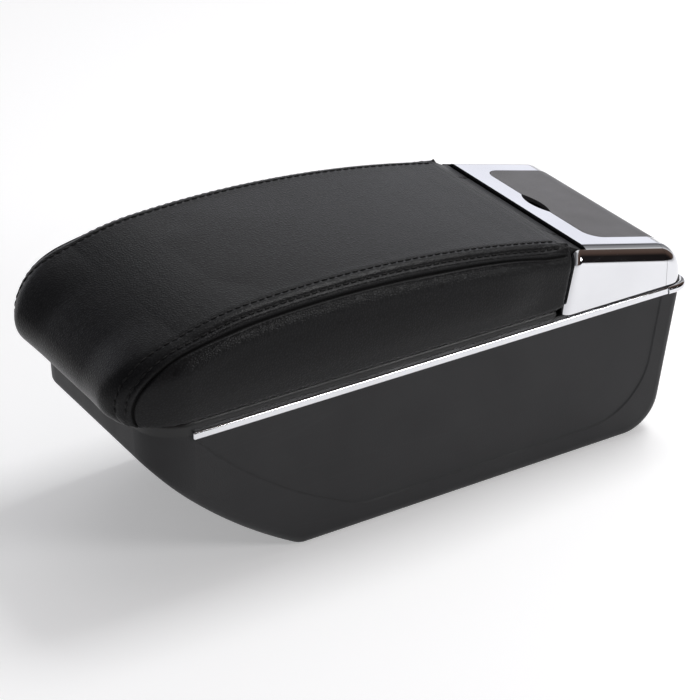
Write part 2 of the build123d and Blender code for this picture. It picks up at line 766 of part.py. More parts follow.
pieces = (
    storage_box,
    rim_frame,
    side_trim_left,
    side_trim_right,
    rear_trim,
    ashtray_surround,
    rear_cap,
    ash_cup,
    ashtray_lid,
    ashtray_lid_rod,
    leather_cover,
    foam_pad,
    lid_base,
    lid_liner,
    lid_hinge_pins,
    rim_screws,
    surround_screws,
    rear_cap_screws,
    liner_screws,
    lid_buffers,
)
for piece in pieces:
    export_step(piece.part, f"parts/{piece.part.label}.step")
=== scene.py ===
"""Looks of the car centre armrest: padded leather lid, storage box and chrome ashtray module."""

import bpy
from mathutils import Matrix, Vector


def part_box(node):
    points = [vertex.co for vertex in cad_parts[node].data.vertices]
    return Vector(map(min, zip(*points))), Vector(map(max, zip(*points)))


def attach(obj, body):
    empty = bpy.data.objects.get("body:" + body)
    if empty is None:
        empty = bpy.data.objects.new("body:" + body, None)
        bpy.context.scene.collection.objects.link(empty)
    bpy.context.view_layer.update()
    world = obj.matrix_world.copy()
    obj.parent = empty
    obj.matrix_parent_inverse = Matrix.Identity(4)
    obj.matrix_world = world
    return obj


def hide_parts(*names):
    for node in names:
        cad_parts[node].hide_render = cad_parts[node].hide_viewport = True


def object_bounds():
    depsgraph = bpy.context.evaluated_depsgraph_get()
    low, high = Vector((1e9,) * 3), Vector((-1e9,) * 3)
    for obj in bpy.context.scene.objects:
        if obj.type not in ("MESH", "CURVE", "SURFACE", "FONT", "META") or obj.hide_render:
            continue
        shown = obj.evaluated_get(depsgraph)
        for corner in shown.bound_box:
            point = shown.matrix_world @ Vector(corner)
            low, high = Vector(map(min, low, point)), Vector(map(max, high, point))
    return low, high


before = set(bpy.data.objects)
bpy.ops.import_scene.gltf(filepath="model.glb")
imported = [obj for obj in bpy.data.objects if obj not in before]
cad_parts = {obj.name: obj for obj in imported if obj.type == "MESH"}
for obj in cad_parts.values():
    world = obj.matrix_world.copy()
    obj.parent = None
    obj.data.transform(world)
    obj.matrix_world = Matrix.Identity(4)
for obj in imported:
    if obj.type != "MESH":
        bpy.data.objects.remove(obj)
CAD_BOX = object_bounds()
PAD_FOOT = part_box("leather_cover")[0].z

import logging
import math
from collections.abc import Iterator
from contextlib import contextmanager
from dataclasses import dataclass, field
from enum import Enum

import bmesh
import bpy
from mathutils import Matrix, Vector
from mathutils.bvhtree import BVHTree

MM = 0.001
LOG = logging.getLogger("armrest")
Colour = tuple[float, float, float]
Direction = tuple[float, float, float]
Values = dict[str | int, object]


class Body(Enum):
    """Bodies that the pieces made here ride on."""

    LID = "lid"


class Side(Enum):
    """Sides of the armrest, by the sign of Y."""

    NEAR = -1
    FAR = 1


class Wiring:
    """Adds nodes to one shader tree and joins them."""

    def __init__(self, tree: bpy.types.NodeTree) -> None:
        """Keeps the tree that the nodes go into."""
        self.tree = tree

    def fill(self, socket: bpy.types.NodeSocket, value: object) -> None:
        """Joins an output to an input, or sets the input's value.

        Args:
            socket: Input to fill.
            value: Output to join, or value to set.
        """
        if isinstance(value, bpy.types.NodeSocket):
            self.tree.links.new(value, socket)
        else:
            socket.default_value = value

    def feed(self, node: bpy.types.Node, sockets: Values) -> None:
        """Fills several inputs of a node.

        Args:
            node: Node to fill.
            sockets: Input by name or number, with a value to set or an output to join.
        """
        for key, value in sockets.items():
            self.fill(node.inputs[key], value)

    def add(self, kind: str, sockets: Values | None = None, **options: object) -> bpy.types.Node:
        """Adds a node.

        Args:
            kind: Blender's name of the node type.
            sockets: Input by name or number, with a value to set or an output to join.
            options: Settings of the node itself.

        Returns:
            The new node.
        """
        node = self.tree.nodes.new(kind)
        for name, value in options.items():
            setattr(node, name, value)
        self.feed(node, sockets or {})
        return node

    def place(self) -> bpy.types.NodeSocket:
        """Gives the piece's own coordinates."""
        return self.add("ShaderNodeTexCoord").outputs["Object"]

    def noise(
        self, place: object, scale: object, detail: float, output: str = "Fac"
    ) -> bpy.types.NodeSocket:
        """Adds a noise.

        Args:
            place: Coordinates that it reads.
            scale: Its scale, a number or an output.
            detail: Its detail.
            output: Name of the output to take.

        Returns:
            The noise.
        """
        sockets = {"Vector": place, "Scale": scale, "Detail": detail}
        return self.add("ShaderNodeTexNoise", sockets).outputs[output]

    def sum(self, operation: str, first: object, second: object) -> bpy.types.NodeSocket:
        """Joins two values by a sum.

        Args:
            operation: Name of the sum, such as MULTIPLY.
            first: First value or output.
            second: Second value or output.

        Returns:
            The output of the sum.
        """
        return self.add("ShaderNodeMath", {0: first, 1: second}, operation=operation).outputs[0]

    def dot(self, way: object, direction: Direction) -> bpy.types.NodeSocket:
        """How far a direction points along another.

        Args:
            way: Direction output.
            direction: Fixed direction.

        Returns:
            Their dot product.
        """
        node = self.add("ShaderNodeVectorMath", {0: way, 1: direction}, operation="DOT_PRODUCT")
        return node.outputs["Value"]

    def spread(
        self, value: object, low: float, high: float, to_low: float, to_high: float
    ) -> bpy.types.NodeSocket:
        """Maps a value from one range to another, held at its ends.

        Args:
            value: Value or output to map.
            low: Start of its range.
            high: End of its range.
            to_low: Result at the start.
            to_high: Result at the end.

        Returns:
            The mapped output.
        """
        sockets = {"Value": value, "From Min": low, "From Max": high, "To Min": to_low, "To Max": to_high}
        return self.add("ShaderNodeMapRange", sockets).outputs["Result"]

    def tint(self, factor: object, first: object, second: object) -> bpy.types.NodeSocket:
        """Mixes two colours.

        Args:
            factor: Share of the second colour.
            first: First colour or output.
            second: Second colour or output.

        Returns:
            The mixed colour.
        """
        node = self.add("ShaderNodeMix", data_type="RGBA")
        sockets = [s for s in node.inputs if s.enabled]
        for socket, value in zip(sockets, (factor, first, second)):
            self.fill(socket, value)
        return next(s for s in node.outputs if s.enabled)

    def ramp(self, value: object, stops: tuple[tuple[float, Colour], ...]) -> bpy.types.NodeSocket:
        """Colours a value between -1 and 1 by stops.

        Args:
            value: Value or output to colour.
            stops: Values with their colours, in rising order.

        Returns:
            The colour.
        """
        node = self.add("ShaderNodeValToRGB", {"Fac": self.spread(value, -1.0, 1.0, 0.0, 1.0)})
        elements = node.color_ramp.elements
        while len(elements) < len(stops):
            elements.new(1.0)
        for element, (at, colour) in zip(elements, stops):
            element.position = (at + 1) / 2
            element.color = rgba(colour)
        return node.outputs["Color"]

    def bump(self, height: object, distance: float, strength: float) -> bpy.types.NodeSocket:
        """Turns a height into a normal.

        Args:
            height: Height output.
            distance: Real height in metres of a full step.
            strength: How strongly the bump shows.

        Returns:
            The bumped normal.
        """
        sockets = {"Height": height, "Distance": distance, "Strength": strength}
        return self.add("ShaderNodeBump", sockets).outputs["Normal"]


def rgba(colour: Colour, factor: float = 1.0) -> tuple[float, ...]:
    """Gives a colour its alpha, dimmed or raised by a factor."""
    return (*(factor * c for c in colour), 1.0)


def effect_group(
    name: str, inputs: dict[str, float], outputs: tuple[str, ...]
) -> tuple[Wiring, bpy.types.Node, bpy.types.Node]:
    """Starts a shader group with named sockets.

    Args:
        name: Name of the group.
        inputs: Float inputs with their first values.
        outputs: Float outputs.

    Returns:
        The wiring of the group, the node that gives its inputs and the node that takes its outputs.
    """
    tree = bpy.data.node_groups.new(name, "ShaderNodeTree")
    for label, value in inputs.items():
        tree.interface.new_socket(label, in_out="INPUT", socket_type="NodeSocketFloat").default_value = value
    for label in outputs:
        tree.interface.new_socket(label, in_out="OUTPUT", socket_type="NodeSocketFloat")
    wiring = Wiring(tree)
    return wiring, wiring.add("NodeGroupInput"), wiring.add("NodeGroupOutput")


def pebble_grain() -> bpy.types.NodeTree:
    """Leather grain: rounded pebbles parted by fine valleys.

    Returns:
        The shader group, with a Height output and an output for the painted shade in the valleys.
    """
    name = "pebble_grain"
    if name in bpy.data.node_groups:
        return bpy.data.node_groups[name]
    w, given, taken = effect_group(name, {"Scale": 800.0, "Wander": 0.0006}, ("Height", "Valley Shade"))
    place = w.place()
    drift = w.noise(place, 240.0, 2.0, "Color")
    centred = w.add("ShaderNodeVectorMath", {0: drift, 1: (0.5, 0.5, 0.5)}, operation="SUBTRACT").outputs[0]
    wander = {0: centred, "Scale": given.outputs["Wander"]}
    moved = w.add("ShaderNodeVectorMath", wander, operation="SCALE").outputs[0]
    spot = w.add("ShaderNodeVectorMath", {0: place, 1: moved}, operation="ADD").outputs[0]
    lattice = {"Vector": spot, "Scale": given.outputs["Scale"]}
    cells = w.add("ShaderNodeTexVoronoi", lattice, feature="DISTANCE_TO_EDGE")
    pebble = w.spread(cells.outputs["Distance"], 0.0, 0.32, 0.0, 1.0)
    fine = w.noise(place, 2600.0, 2.0)
    depth = w.spread(w.noise(place, 55.0, 2.0), 0.3, 0.7, 0.85, 1.0)
    height = w.sum("ADD", w.sum("MULTIPLY", pebble, depth), w.sum("MULTIPLY", fine, 0.25))
    # The valley output is a share of painted shade, strongest between the pebbles.
    w.feed(taken, {"Height": height, "Valley Shade": w.spread(pebble, 0.0, 0.6, 1.0, 0.0)})
    return w.tree


def moulded_skin() -> bpy.types.NodeTree:
    """Fine spark-eroded texture of a moulded surface.

    Returns:
        The shader group, with Height and Tone outputs.
    """
    name = "moulded_skin"
    if name in bpy.data.node_groups:
        return bpy.data.node_groups[name]
    w, given, taken = effect_group(name, {"Scale": 1500.0}, ("Height", "Tone"))
    place = w.place()
    speck = w.spread(w.noise(place, given.outputs["Scale"], 3.0), 0.3, 0.7, 0.0, 1.0)
    flow = w.spread(w.noise(place, 9.0, 3.0), 0.3, 0.7, 0.0, 1.0)
    w.feed(taken, {"Height": speck, "Tone": flow})
    return w.tree


def handling_marks() -> bpy.types.NodeTree:
    """Marks that hands and cloths leave: soft smudges and fine hairline scratches.

    Returns:
        The shader group, with Smudge and Scratch outputs.
    """
    name = "handling_marks"
    if name in bpy.data.node_groups:
        return bpy.data.node_groups[name]
    w, given, taken = effect_group(name, {"Smudge Scale": 28.0, "Scratch Scale": 60.0}, ("Smudge", "Scratch"))
    place = w.place()
    cloud = w.noise(place, given.outputs["Smudge Scale"], 4.0)
    stretch = {"Vector": place, "Rotation": (0.3, 0.2, 0.5), "Scale": (0.06, 1.0, 1.0)}
    turned = w.add("ShaderNodeMapping", stretch)
    lattice = {"Vector": turned.outputs["Vector"], "Scale": given.outputs["Scratch Scale"]}
    hair = w.add("ShaderNodeTexVoronoi", lattice, feature="DISTANCE_TO_EDGE").outputs["Distance"]
    smudge = w.spread(cloud, 0.35, 0.7, 0.0, 1.0)
    w.feed(taken, {"Smudge": smudge, "Scratch": w.spread(hair, 0.0, 0.012, 1.0, 0.0)})
    return w.tree


class Finish:
    """A surface finish that makes its material once.

    Its name differs from the slots' names, whose plain materials come with the frame.
    """

    name: str

    def material(self) -> bpy.types.Material:
        """Finds the finish's material, or makes it on first use.

        Returns:
            The material.
        """
        found = bpy.data.materials.get(self.name)
        if found is None:
            found = bpy.data.materials.new(self.name)
            found.use_nodes = True
            found.node_tree.nodes.clear()
            wiring = Wiring(found.node_tree)
            shader = wiring.add("ShaderNodeBsdfPrincipled")
            wiring.add("ShaderNodeOutputMaterial", {"Surface": shader.outputs["BSDF"]})
            self.paint(wiring, shader)
        return found

    def paint(self, w: Wiring, shader: bpy.types.Node) -> None:
        """Wires the finish into its shader; each finish has its own.

        Args:
            w: Wiring of the material.
            shader: The material's shader.
        """
        raise NotImplementedError


@dataclass(frozen=True)
class LeatherFinish(Finish):
    """Black grained leather, with painted shade in its seam slit, stitch rows and rear folds."""

    name: str = "black_leather"
    face: Colour = (0.0078, 0.0078, 0.0088)
    # Colour of the painted shade in the grain's valleys.
    valley_shade_colour: Colour = (0.0022, 0.0022, 0.0025)
    # Colour of the painted shade in the seam slit, stitch rows and rear folds.
    crease: Colour = (0.0005, 0.0005, 0.0006)
    valley_share: float = 0.8
    grain_scale: float = 620.0
    grain_depth: float = 0.00009
    rough: tuple[float, float] = (0.34, 0.37)
    seam_rough: float = 0.4
    gloss: float = 0.14
    sheen: float = 0.015
    sheen_rough: float = 0.5

    def paint(self, w: Wiring, shader: bpy.types.Node) -> None:
        """Wires grain with painted shade in its valleys, painted seam shade and sheen.

        Args:
            w: Wiring of the material.
            shader: The material's shader.
        """
        grain = w.add("ShaderNodeGroup", {"Scale": self.grain_scale}, node_tree=pebble_grain())
        marks = w.add("ShaderNodeGroup", node_tree=handling_marks())
        # Share of painted shade in the seam slit, stitch rows and rear folds, stored per vertex by carve.
        seam = w.add("ShaderNodeAttribute", attribute_name="painted_seam_shade").outputs["Fac"]
        # Painted shade in the grain's valleys, mixed into the leather's colour.
        valley_shade = w.sum("MULTIPLY", grain.outputs["Valley Shade"], self.valley_share)
        hide = w.tint(valley_shade, rgba(self.face), rgba(self.valley_shade_colour))
        worn = w.spread(marks.outputs["Smudge"], 0.0, 1.0, *self.rough)
        finish = {
            "Base Color": w.tint(seam, hide, rgba(self.crease)),
            "Roughness": w.sum("ADD", worn, w.sum("MULTIPLY", seam, self.seam_rough)),
            "Normal": w.bump(grain.outputs["Height"], self.grain_depth, 1.0),
            "Specular IOR Level": self.gloss,
            "Sheen Weight": self.sheen,
            "Sheen Roughness": self.sheen_rough,
        }
        w.feed(shader, finish)


@dataclass(frozen=True)
class ThreadFinish(Finish):
    """Black sewing thread, twisted from strands."""

    name: str = "black_thread"
    face: Colour = (0.0010, 0.0010, 0.0011)
    strand_highlight_share: float = 2.2
    twist_scale: float = 1500.0
    twist_depth: float = 0.0001
    gloss: float = 0.25

    def paint(self, w: Wiring, shader: bpy.types.Node) -> None:
        """Wires the strands' twist, with a painted highlight along the wave bands of the twist.

        Args:
            w: Wiring of the material.
            shader: The material's shader.
        """
        twist = {"Vector": w.place(), "Scale": self.twist_scale, "Distortion": 1.5}
        strands = w.add("ShaderNodeTexWave", twist, bands_direction="DIAGONAL").outputs["Fac"]
        finish = {
            # Painted highlight: the lighter bands stand for light on the twisted strands.
            "Base Color": w.tint(strands, rgba(self.face), rgba(self.face, self.strand_highlight_share)),
            "Roughness": w.spread(strands, 0.0, 1.0, 0.65, 0.5),
            "Normal": w.bump(strands, self.twist_depth, 0.6),
            "Specular IOR Level": self.gloss,
        }
        w.feed(shader, finish)


@dataclass(frozen=True)
class MouldedFinish(Finish):
    """Moulded plastic with a fine texture and slight flow marks."""

    name: str
    face: Colour
    rough: float = 0.5
    skin_scale: float = 1500.0
    skin_depth: float = 0.00008
    gloss: float = 0.35
    flow_share: float = 0.08
    scuff_share: float = 0.05
    scuff_lift: float = 2.5
    rubbed: float = 0.05

    def paint(self, w: Wiring, shader: bpy.types.Node) -> None:
        """Wires texture, tone and rubbed spots.

        Args:
            w: Wiring of the material.
            shader: The material's shader.
        """
        skin = w.add("ShaderNodeGroup", {"Scale": self.skin_scale}, node_tree=moulded_skin())
        marks = w.add("ShaderNodeGroup", node_tree=handling_marks())
        low, high = (rgba(self.face, 1.0 + share) for share in (-self.flow_share, self.flow_share))
        toned = w.tint(skin.outputs["Tone"], low, high)
        scuff = w.sum("MULTIPLY", marks.outputs["Scratch"], self.scuff_share)
        finish = {
            "Base Color": w.tint(scuff, toned, rgba(self.face, self.scuff_lift)),
            "Roughness": w.spread(
                marks.outputs["Smudge"], 0.0, 1.0, self.rough - self.rubbed, self.rough + self.rubbed
            ),
            "Normal": w.bump(skin.outputs["Height"], self.skin_depth, 0.6),
            "Specular IOR Level": self.gloss,
        }
        w.feed(shader, finish)


@dataclass(frozen=True)
class ChromeFinish(Finish):
    """Bright chrome plating on plastic, with faint ripple and fingerprints."""

    name: str = "bright_chrome"
    face: Colour = (0.735, 0.74, 0.765)
    rough: float = 0.045
    smudge_rough: float = 0.05
    scratch_rough: float = 0.04
    smudge_dull: float = 0.94
    ripple_scale: float = 45.0
    ripple_depth: float = 0.00005

    def paint(self, w: Wiring, shader: bpy.types.Node) -> None:
        """Wires ripple, smudges and hairlines.

        Args:
            w: Wiring of the material.
            shader: The material's shader.
        """
        marks = w.add("ShaderNodeGroup", node_tree=handling_marks())
        ripple = w.noise(w.place(), self.ripple_scale, 1.0)
        smudge = marks.outputs["Smudge"]
        worn = w.spread(smudge, 0.0, 1.0, self.rough, self.rough + self.smudge_rough)
        scratch = w.sum("MULTIPLY", marks.outputs["Scratch"], self.scratch_rough)
        finish = {
            "Base Color": w.tint(smudge, rgba(self.face), rgba(self.face, self.smudge_dull)),
            "Roughness": w.sum("ADD", worn, scratch),
            "Normal": w.bump(ripple, self.ripple_depth, 0.5),
            "Metallic": 1.0,
        }
        w.feed(shader, finish)


@dataclass(frozen=True)
class SteelFinish(Finish):
    """Zinc-plated steel of screws and pins."""

    name: str = "plated_steel"
    face: Colour = (0.56, 0.56, 0.54)
    dull_share: float = 0.8
    cloud_scale: float = 500.0
    cloud_depth: float = 0.00003

    def paint(self, w: Wiring, shader: bpy.types.Node) -> None:
        """Wires the plating's cloudiness.

        Args:
            w: Wiring of the material.
            shader: The material's shader.
        """
        cloud = w.noise(w.place(), self.cloud_scale, 3.0)
        finish = {
            "Base Color": w.tint(cloud, rgba(self.face), rgba(self.face, self.dull_share)),
            "Roughness": w.spread(cloud, 0.3, 0.7, 0.22, 0.42),
            "Normal": w.bump(cloud, self.cloud_depth, 0.4),
            "Metallic": 1.0,
        }
        w.feed(shader, finish)


@dataclass(frozen=True)
class FloorFinish(Finish):
    """Pale matt studio floor, lit from below like a light table."""

    name: str = "studio_floor"
    face: Colour = (0.88, 0.88, 0.885)
    dull_share: float = 0.99
    gloss: float = 0.1
    glow: float = 0.38

    def paint(self, w: Wiring, shader: bpy.types.Node) -> None:
        """Wires a barely seen mottle.

        Args:
            w: Wiring of the material.
            shader: The material's shader.
        """
        mottle = w.noise(w.place(), 3.0, 2.0)
        finish = {
            "Base Color": w.tint(mottle, rgba(self.face), rgba(self.face, self.dull_share)),
            "Roughness": w.spread(mottle, 0.3, 0.7, 0.85, 0.95),
            "Specular IOR Level": self.gloss,
            "Emission Color": rgba(self.face),
            "Emission Strength": self.glow,
        }
        w.feed(shader, finish)


LEATHER = LeatherFinish()
THREAD = ThreadFinish()
CHROME = ChromeFinish()
STEEL = SteelFinish()
FLOOR = FloorFinish()
BOX_PLASTIC = MouldedFinish("grained_box", (0.0245, 0.0245, 0.026), rough=0.52, skin_depth=0.00005, gloss=0.2)
COLLAR_PLASTIC = MouldedFinish(
    "satin_collar", (0.0060, 0.0060, 0.0066), rough=0.34, skin_scale=2200.0, gloss=0.4
)
FLIP_PLASTIC = MouldedFinish("satin_flip_lid", (0.080, 0.076, 0.078), rough=0.38, skin_scale=1800.0)
CUP_PLASTIC = MouldedFinish("matt_cup", (0.016, 0.016, 0.017), rough=0.45)
TRAY_PLASTIC = MouldedFinish("matt_tray", (0.02, 0.02, 0.021), rough=0.55)
LINER_PLASTIC = MouldedFinish(
    "grained_liner", (0.024, 0.024, 0.025), rough=0.62, skin_scale=700.0, skin_depth=0.00016
)
RUBBER = MouldedFinish("matt_rubber", (0.012, 0.012, 0.012), rough=0.75, skin_scale=900.0, gloss=0.2)


def dress(node: str, finish: Finish) -> None:
    """Gives a CAD node its finish.

    Args:
        node: Name of the node.
        finish: Finish that all its faces take.
    """
    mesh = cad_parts[node].data
    mesh.materials.clear()
    mesh.materials.append(finish.material())
    LOG.info("dressed %s in %s", node, finish.name)


def settle(name: str, shape: bmesh.types.BMesh, finish: Finish) -> bpy.types.Object:
    """Turns a bmesh into a smooth-shaded object in the scene.

    Args:
        name: Name of the piece.
        shape: Its mesh, which is freed.
        finish: Its finish.

    Returns:
        The new object, at the origin.
    """
    mesh = bpy.data.meshes.new(name)
    for face in shape.faces:
        face.smooth = True
    shape.to_mesh(mesh)
    shape.free()
    mesh.materials.append(finish.material())
    piece = bpy.data.objects.new(name, mesh)
    bpy.context.scene.collection.objects.link(piece)
    return piece


def bake(piece: bpy.types.Object) -> None:
    """Makes a piece's modifiers part of its mesh.

    Args:
        piece: Piece whose modifiers are applied and removed.
    """
    shown = piece.evaluated_get(bpy.context.evaluated_depsgraph_get())
    mesh = bpy.data.meshes.new_from_object(shown)
    piece.modifiers.clear()
    old = piece.data
    piece.data = mesh
    bpy.data.meshes.remove(old)


@contextmanager
def reshaping(piece: bpy.types.Object) -> Iterator[bmesh.types.BMesh]:
    """Opens a piece's mesh for edits, and stores it afterwards.

    Args:
        piece: Piece to reshape.

    Yields:
        Its mesh.
    """
    mesh = bmesh.new()
    mesh.from_mesh(piece.data)
    mesh.normal_update()
    yield mesh
    mesh.to_mesh(piece.data)
    mesh.free()


def smooth(mesh: bmesh.types.BMesh, verts: list[bmesh.types.BMVert], factor: float, passes: int) -> None:
    """Draws vertices toward their neighbours.

    Args:
        mesh: Mesh that they belong to.
        verts: Vertices to move.
        factor: How far each goes in a pass.
        passes: Number of passes.
    """
    for _ in range(passes):
        bmesh.ops.smooth_vert(
            mesh, verts=verts, factor=factor, use_axis_x=True, use_axis_y=True, use_axis_z=True
        )


def ease(value: float) -> float:
    """Smooth step from 0 to 1, held at its ends."""
    held = min(1.0, max(0.0, value))
    return held * held * (3 - 2 * held)


@dataclass(frozen=True)
class Fade:
    """A smooth change from 0 to 1 over a length, which is negative where it runs backwards."""

    start: float
    length: float

    def at(self, value: float) -> float:
        """Share of the change that is done at a value."""
        return ease((value - self.start) / self.length)


@dataclass(frozen=True)
class Belly:
    """A bulge that is fullest at a height above the pad's foot."""

    height: float
    below: float
    above: float

    def at(self, z: float) -> float:
        """Share of the full bulge at a height.

        Args:
            z: Height in the scene.

        Returns:
            The share, from 0 to 1.
        """
        drop = (z - PAD_FOOT - self.height) / (self.below if z < PAD_FOOT + self.height else self.above)
        return max(0.0, 1.0 - drop * drop)


@dataclass(frozen=True)
class Line:
    """Bell-shaped profile of a line, whose peak is a depth, a height or a shade."""

    width: float
    peak: float
    shift: float = 0.0

    def at(self, distance: float) -> float:
        """Share of the peak: 1 on the line, 0 away from it."""
        return math.exp(-(((distance + self.shift) / self.width) ** 2))


@dataclass(frozen=True)
class SeamLine:
    """A sewn line along each long edge of the pad, which bends inwards down the nose."""

    across: float
    pull: float
    bend_top: float = PAD_FOOT + 39.5 * MM
    bend_foot: float = PAD_FOOT + 3.5 * MM
    bend_start: float = -100 * MM

    def at(self, x: float, z: float) -> float:
        """Distance of the line from the middle plane.

        Args:
            x: Station along the pad.
            z: Height on the pad.

        Returns:
            The line's |y| there.
        """
        if x > self.bend_start:
            return self.across
        return self.across - self.pull * ease((self.bend_top - z) / (self.bend_top - self.bend_foot))


@dataclass(frozen=True)
class SoftForm:
    """Where the foam fills the cover out beyond its rigid form; the roll's fades are in degrees."""

    corner_fullness: float = 3.2 * MM
    corner_fade: Fade = Fade(22 * MM, 34 * MM)
    corner_belly: Belly = Belly(23 * MM, 22 * MM, 22 * MM)
    nose_fade: Fade = Fade(-80 * MM, -75 * MM)
    side_fullness: float = 3.0 * MM
    side_fade: Fade = Fade(70 * MM, 4 * MM)
    side_belly: Belly = Belly(19 * MM, 18 * MM, 26 * MM)
    rear_fade: Fade = Fade(88 * MM, -40 * MM)
    roll_radius: float = 5.1 * MM
    roll_growth: float = 1.27
    roll_start: Fade = Fade(-20, 25)
    roll_stop: Fade = Fade(50, 30)
    end_foot: float = 93.1 * MM
    end_lean: float = 0.1944
    end_round: float = 10 * MM
    end_fade: Fade = Fade(64 * MM, 4 * MM)
    tight_round: float = 3.0 * MM

    def fullness(self, spot: Vector) -> float:
        """How far the foam fills the sides and the nose corners out.

        Args:
            spot: Point on the form.

        Returns:
            The distance beyond the form.
        """
        ahead = self.nose_fade.at(spot.x)
        corner = self.corner_fade.at(abs(spot.y)) * self.corner_belly.at(spot.z)
        side = self.side_belly.at(spot.z) * self.side_fade.at(abs(spot.y)) * self.rear_fade.at(spot.x)
        return self.corner_fullness * ahead * corner + self.side_fullness * side * (1.0 - ahead)

    def rolled(self, spot: Vector, axle: Vector) -> Vector:
        """Rounds the rear roll out about the hinge.

        Args:
            spot: Point on the cover.
            axle: Point on the hinge's axis.

        Returns:
            Where the point goes.
        """
        arm = Vector((spot.x - axle.x, 0.0, spot.z - axle.z))
        turn = math.degrees(math.atan2(arm.x, arm.z))
        share = self.roll_start.at(turn) * (1.0 - self.roll_stop.at(turn))
        grown = min(arm.length * self.roll_growth, max(arm.length, self.roll_radius))
        return spot + arm.normalized() * (grown - arm.length) * share

    def squared(self, spot: Vector) -> Vector:
        """Draws the rear edge of a side panel back to a tight round beside the chrome arm.

        Args:
            spot: Point on the cover.

        Returns:
            Where the point goes.
        """
        short = self.end_foot + (spot.z - PAD_FOOT) * self.end_lean - spot.x
        reach = 2 * self.end_round
        if not 0.0 < short < reach:
            return spot
        tight = self.tight_round / self.end_round
        kept = short * tight if short < self.end_round else reach - (reach - short) * (2 - tight)
        return spot + Vector(((short - kept) * self.end_fade.at(abs(spot.y)), 0.0, 0.0))


@dataclass(frozen=True)
class SewnEdge:
    """Two stitch rows and the seam along each long edge, and the folds at the rear."""

    top_row: SeamLine = SeamLine(62.3 * MM, 4.4 * MM)
    low_row: SeamLine = SeamLine(68.6 * MM, 6.2 * MM)
    crease: SeamLine = SeamLine(72.2 * MM, 7.6 * MM)
    row_end: float = 92 * MM
    row_fade: Fade = Fade(94 * MM, -5 * MM)
    crease_fade: Fade = Fade(95.5 * MM, -2.5 * MM)
    relief_foot: float = PAD_FOOT + 1 * MM
    seam_foot: float = PAD_FOOT + 1.5 * MM
    row_groove: Line = Line(1.0 * MM, 0.35 * MM)
    # row_shade, slit_shade and fold_shade set how much painted shade the stitch rows, the seam slit and the
    # rear folds take.
    row_shade: Line = Line(0.7 * MM, 0.3)
    row_ridge: Line = Line(2.6 * MM, 0.35 * MM)
    edge_ridge: Line = Line(1.3 * MM, 0.5 * MM, 1.7 * MM)
    slit: Line = Line(0.6 * MM, 1.35 * MM, -0.2 * MM)
    slit_shade: float = 1.2
    fold_shade: float = 1.2 / MM
    fold_darkest: float = 0.9
    fold_foot: float = PAD_FOOT + 21.5 * MM
    fold_side: float = 67 * MM
    fold_side_fade: float = 4 * MM
    break_line: Line = Line(1.4 * MM, 0.22 * MM, -96.5 * MM)
    short_fold: Line = Line(0.75 * MM, 0.65 * MM, -43.5 * MM)
    short_fold_fade: Fade = Fade(96 * MM, 4 * MM)
    short_fold_x: float = 103 * MM
    short_fold_lean: float = 0.5

    def beside(self, spot: Vector, reach: float) -> bool:
        """Whether a point lies near the sewn edge of the top panel.

        Args:
            spot: Point on the cover.
            reach: Distance from the middle of the sewn edge that counts as near.

        Returns:
            True where it does.
        """
        if spot.z < self.seam_foot or spot.x > self.crease_fade.start:
            return False
        middle = (self.top_row.at(spot.x, spot.z) + self.crease.at(spot.x, spot.z)) / 2
        return abs(abs(spot.y) - middle) < reach

    def relief(self, spot: Vector) -> tuple[float, float]:
        """Height and painted shade of the sewn relief at a point.

        Args:
            spot: Point on the cover.

        Returns:
            How far the point moves outwards, and how much painted shade it takes.
        """
        if spot.z < self.relief_foot:
            return 0.0, 0.0
        sewn = self.row_fade.at(spot.x)
        drawn = self.crease_fade.at(spot.x)
        lines = (self.top_row, self.low_row, self.crease)
        top, low, edge = (abs(spot.y) - line.at(spot.x, spot.z) for line in lines)
        rows = (self.row_groove.at(top) + self.row_groove.at(low)) * self.row_groove.peak
        between = self.row_ridge.peak * self.row_ridge.at((top + low) / 2)
        ridges = between + self.edge_ridge.peak * self.edge_ridge.at(edge)
        slit = self.slit.at(edge)
        fold = self.rear_folds(spot)
        # Painted shade: darkest in the seam slit, lighter along the stitch rows and in the rear folds.
        painted_shade = max(
            min(1.0, self.slit_shade * slit) * drawn,
            self.row_shade.peak * sewn * max(self.row_shade.at(top), self.row_shade.at(low)),
            min(self.fold_darkest, self.fold_shade * fold),
        )
        return (ridges - rows) * sewn - self.slit.peak * slit * drawn - fold, painted_shade

    def rear_folds(self, spot: Vector) -> float:
        """Depth of the break across the rear of the cover and of its two short folds.

        Args:
            spot: Point on the cover.

        Returns:
            How far the point is pressed in.
        """
        across = abs(spot.y)
        if spot.z < self.fold_foot or across > self.fold_side:
            return 0.0
        inside = min(1.0, (self.fold_side - across) / self.fold_side_fade)
        line = self.break_line.peak * self.break_line.at(spot.x) * inside
        lean = self.short_fold_lean * (spot.x - self.short_fold_x)
        fold = self.short_fold.peak * self.short_fold.at(across - lean)
        return line + fold * self.short_fold_fade.at(spot.x)


